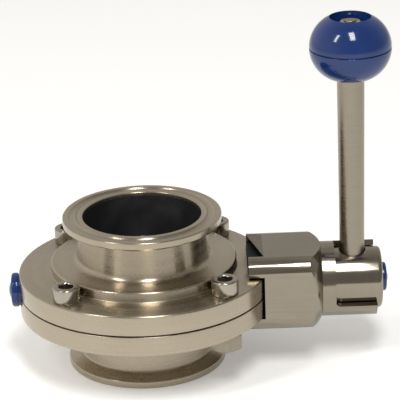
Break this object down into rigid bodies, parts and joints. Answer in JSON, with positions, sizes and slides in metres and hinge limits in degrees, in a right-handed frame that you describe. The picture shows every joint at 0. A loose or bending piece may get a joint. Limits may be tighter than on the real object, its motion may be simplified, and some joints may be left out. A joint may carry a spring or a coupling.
{
  "type": "hygienic butterfly valve",
  "caption": "Hygienic butterfly valve with clamp ferrules, bolted round body halves, and a side stem turned by a pull-to-release lever with a ball knob.",
  "frame": {"origin": "centre of the lower ferrule face, on the pipe axis", "axes": "+Z along the pipe axis towards the upper ferrule, +X along the stem towards the lever"},
  "size_m": [0.1557, 0.1014, 0.1416],
  "materials": {
    "upper_body": "turned and polished",
    "lower_body": "turned and polished",
    "seat": "moulded",
    "disc": "polished",
    "stem_seals": "moulded",
    "drive_bearing": "machined",
    "cap_bearing": "machined",
    "trunnion_cap": "glossy moulded",
    "body_screws": "bright",
    "body_nuts": "bright",
    "stem_guide": "moulded",
    "handle_housing": "polished",
    "hub": "polished",
    "hub_washer": "bright",
    "hub_screw": "bright",
    "hub_plug": "glossy moulded",
    "rod_bush": "moulded",
    "plunger_stop": "turned",
    "lock_spring": "drawn wire",
    "lock_plunger": "turned",
    "handle_rod": "satin turned",
    "knob_lower": "glossy moulded",
    "knob_upper": "glossy moulded",
    "knob_nut": "bright"
  },
  "bodies": {
    "valve_body": {"upper_body": "upper_body", "lower_body": "lower_body", "seat": "seat", "stem_seals": "stem_seals", "drive_bearing": "drive_bearing", "cap_bearing": "cap_bearing", "trunnion_cap": "trunnion_cap", "body_screws": "body_screws", "body_nuts": "body_nuts", "stem_guide": "stem_guide", "handle_housing": "handle_housing"},
    "stem_and_hub": {"disc": "disc", "hub": "hub", "hub_washer": "hub_washer", "hub_screw": "hub_screw", "hub_plug": "hub_plug", "rod_bush": "rod_bush", "plunger_stop": "plunger_stop", "lock_spring": "lock_spring"},
    "lever": {"handle_rod": "handle_rod", "lock_plunger": "lock_plunger", "knob_lower": "knob_lower", "knob_upper": "knob_upper", "knob_nut": "knob_nut"}
  },
  "joints": [
    {"name": "stem_turn", "type": "hinge", "parent": "valve_body", "child": "stem_and_hub", "pos_m": [0, 0, 0.03125], "axis": [1, 0, 0], "range_deg": [0, 90]},
    {"name": "lever_pull", "type": "slide", "parent": "stem_and_hub", "child": "lever", "axis": [0, 0, 1], "range_m": [0, 0.006], "stiffness_N_per_m": 2000, "springref_m": -0.002, "deforming": ["lock_spring"]}
  ]
}
